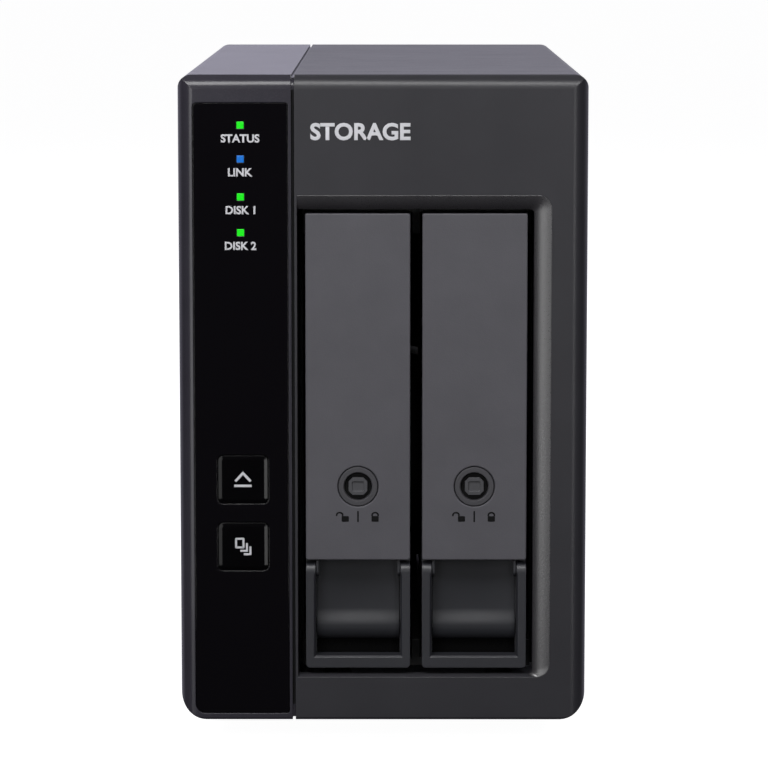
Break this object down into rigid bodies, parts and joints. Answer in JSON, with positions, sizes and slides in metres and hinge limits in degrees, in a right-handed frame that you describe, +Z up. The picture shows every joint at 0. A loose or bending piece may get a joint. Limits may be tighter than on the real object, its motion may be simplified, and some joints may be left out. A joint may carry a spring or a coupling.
{
  "type": "two-bay disk storage enclosure",
  "caption": "Upright desktop disk enclosure with a glossy status column, square keys and lights, and two lockable pull-out drive trays with swing handles.",
  "frame": {"origin": "on the standing surface, under the middle of the case", "axes": "+X right seen from the front, +Y to the rear, +Z up; the trays slide out along -Y"},
  "size_m": [0.102, 0.219, 0.1685],
  "materials": {
    "column_plastic": "satin",
    "case_plastic": "fine matte grain",
    "lens_gloss": "polished",
    "green_light": "clear, lit",
    "blue_light": "clear, lit",
    "key_gloss": "polished",
    "black_plastic": "matte",
    "white_plastic": "matte",
    "circuit_board": "solder mask",
    "bare_steel": "bright",
    "black_sheet": "matte",
    "sink_metal": "anodised",
    "lead_rubber": "matte",
    "tray_plastic": "satin",
    "handle_plastic": "satin",
    "cover_metal": "fine texture",
    "ring_plastic": "fine texture",
    "lock_plastic": "satin",
    "cast_metal": "cast"
  },
  "bodies": {
    "enclosure": {"backplane_board": "circuit_board", "board_screws": "bare_steel", "bridge_chip": "black_plastic", "capacitors": "sink_metal", "case_screws": "bare_steel", "control_panel_housing": "column_plastic", "disk_1_light_pipe": "green_light", "disk_2_light_pipe": "green_light", "drive_cage": "black_sheet", "edge_socket": "black_plastic", "fan_cable": "lead_rubber", "fan_frame": "black_plastic", "fan_screws": "bare_steel", "front_bezel": "case_plastic", "front_board": "circuit_board", "front_cable": "lead_rubber", "front_leds": "white_plastic", "heat_sink": "sink_metal", "key_switches": "black_plastic", "left_shell": "column_plastic", "lens_panel": "lens_gloss", "link_light_pipe": "blue_light", "lower_guide": "black_plastic", "main_board": "circuit_board", "power_jack": "black_plastic", "rear_fan_panel": "case_plastic", "rear_port_panel": "column_plastic", "rear_switches": "black_plastic", "right_shell": "case_plastic", "rubber_feet": "lead_rubber", "sata_receptacles": "black_plastic", "status_light_pipe": "green_light", "upper_guide": "black_plastic", "usb_c_port": "bare_steel"},
    "eject_key": {"eject_key": "key_gloss"},
    "copy_key": {"copy_key": "key_gloss"},
    "power_key": {"power_key": "key_gloss"},
    "mode_slider_1": {"mode_slider_1": "white_plastic"},
    "mode_slider_2": {"mode_slider_2": "white_plastic"},
    "fan_rotor": {"fan_rotor": "black_plastic"},
    "tray_1": {"tray_1_frame": "tray_plastic", "tray_1_cover": "cover_metal", "tray_1_lock_ring": "ring_plastic", "tray_1_screws": "bare_steel", "tray_1_drive_base": "cast_metal", "tray_1_drive_lid": "bare_steel", "tray_1_drive_board": "circuit_board"},
    "handle_1": {"tray_1_handle": "handle_plastic"},
    "lock_1": {"tray_1_lock_plug": "lock_plastic", "tray_1_lock_cam": "bare_steel"},
    "tray_2": {"tray_2_frame": "tray_plastic", "tray_2_cover": "cover_metal", "tray_2_lock_ring": "ring_plastic", "tray_2_screws": "bare_steel", "tray_2_drive_base": "cast_metal", "tray_2_drive_lid": "bare_steel", "tray_2_drive_board": "circuit_board"},
    "handle_2": {"tray_2_handle": "handle_plastic"},
    "lock_2": {"tray_2_lock_plug": "lock_plastic", "tray_2_lock_cam": "bare_steel"}
  },
  "joints": [
    {"name": "tray_1_slide", "type": "slide", "parent": "enclosure", "child": "tray_1", "axis": [0, -1, 0], "range_m": [0, 0.165]},
    {"name": "tray_1_handle_hinge", "type": "hinge", "parent": "tray_1", "child": "handle_1", "pos_m": [-0.0063, -0.1057, 0.0436], "axis": [-1, 0, 0], "range_deg": [0, 65]},
    {"name": "tray_1_lock_turn", "type": "hinge", "parent": "tray_1", "child": "lock_1", "pos_m": [-0.0063, -0.105, 0.0654], "axis": [0, 1, 0], "range_deg": [0, 90]},
    {"name": "tray_2_slide", "type": "slide", "parent": "enclosure", "child": "tray_2", "axis": [0, -1, 0], "range_m": [0, 0.165]},
    {"name": "tray_2_handle_hinge", "type": "hinge", "parent": "tray_2", "child": "handle_2", "pos_m": [0.0229, -0.1057, 0.0436], "axis": [-1, 0, 0], "range_deg": [0, 65]},
    {"name": "tray_2_lock_turn", "type": "hinge", "parent": "tray_2", "child": "lock_2", "pos_m": [0.0229, -0.105, 0.0654], "axis": [0, 1, 0], "range_deg": [0, 90]},
    {"name": "eject_key_press", "type": "slide", "parent": "enclosure", "child": "eject_key", "axis": [0, 1, 0], "range_m": [0, 0.001], "stiffness_N_per_m": 900, "springref_m": -0.0005},
    {"name": "copy_key_press", "type": "slide", "parent": "enclosure", "child": "copy_key", "axis": [0, 1, 0], "range_m": [0, 0.001], "stiffness_N_per_m": 900, "springref_m": -0.0005},
    {"name": "power_key_press", "type": "slide", "parent": "enclosure", "child": "power_key", "axis": [0, -1, 0], "range_m": [0, 0.0012], "stiffness_N_per_m": 900, "springref_m": -0.0005},
    {"name": "mode_slider_1_shift", "type": "slide", "parent": "enclosure", "child": "mode_slider_1", "axis": [0, 0, 1], "range_m": [0, 0.002]},
    {"name": "mode_slider_2_shift", "type": "slide", "parent": "enclosure", "child": "mode_slider_2", "axis": [0, 0, 1], "range_m": [0, 0.002]},
    {"name": "fan_spin", "type": "hinge", "parent": "enclosure", "child": "fan_rotor", "pos_m": [0.0145, 0.095, 0.104], "axis": [0, 1, 0], "continuous": true}
  ]
}
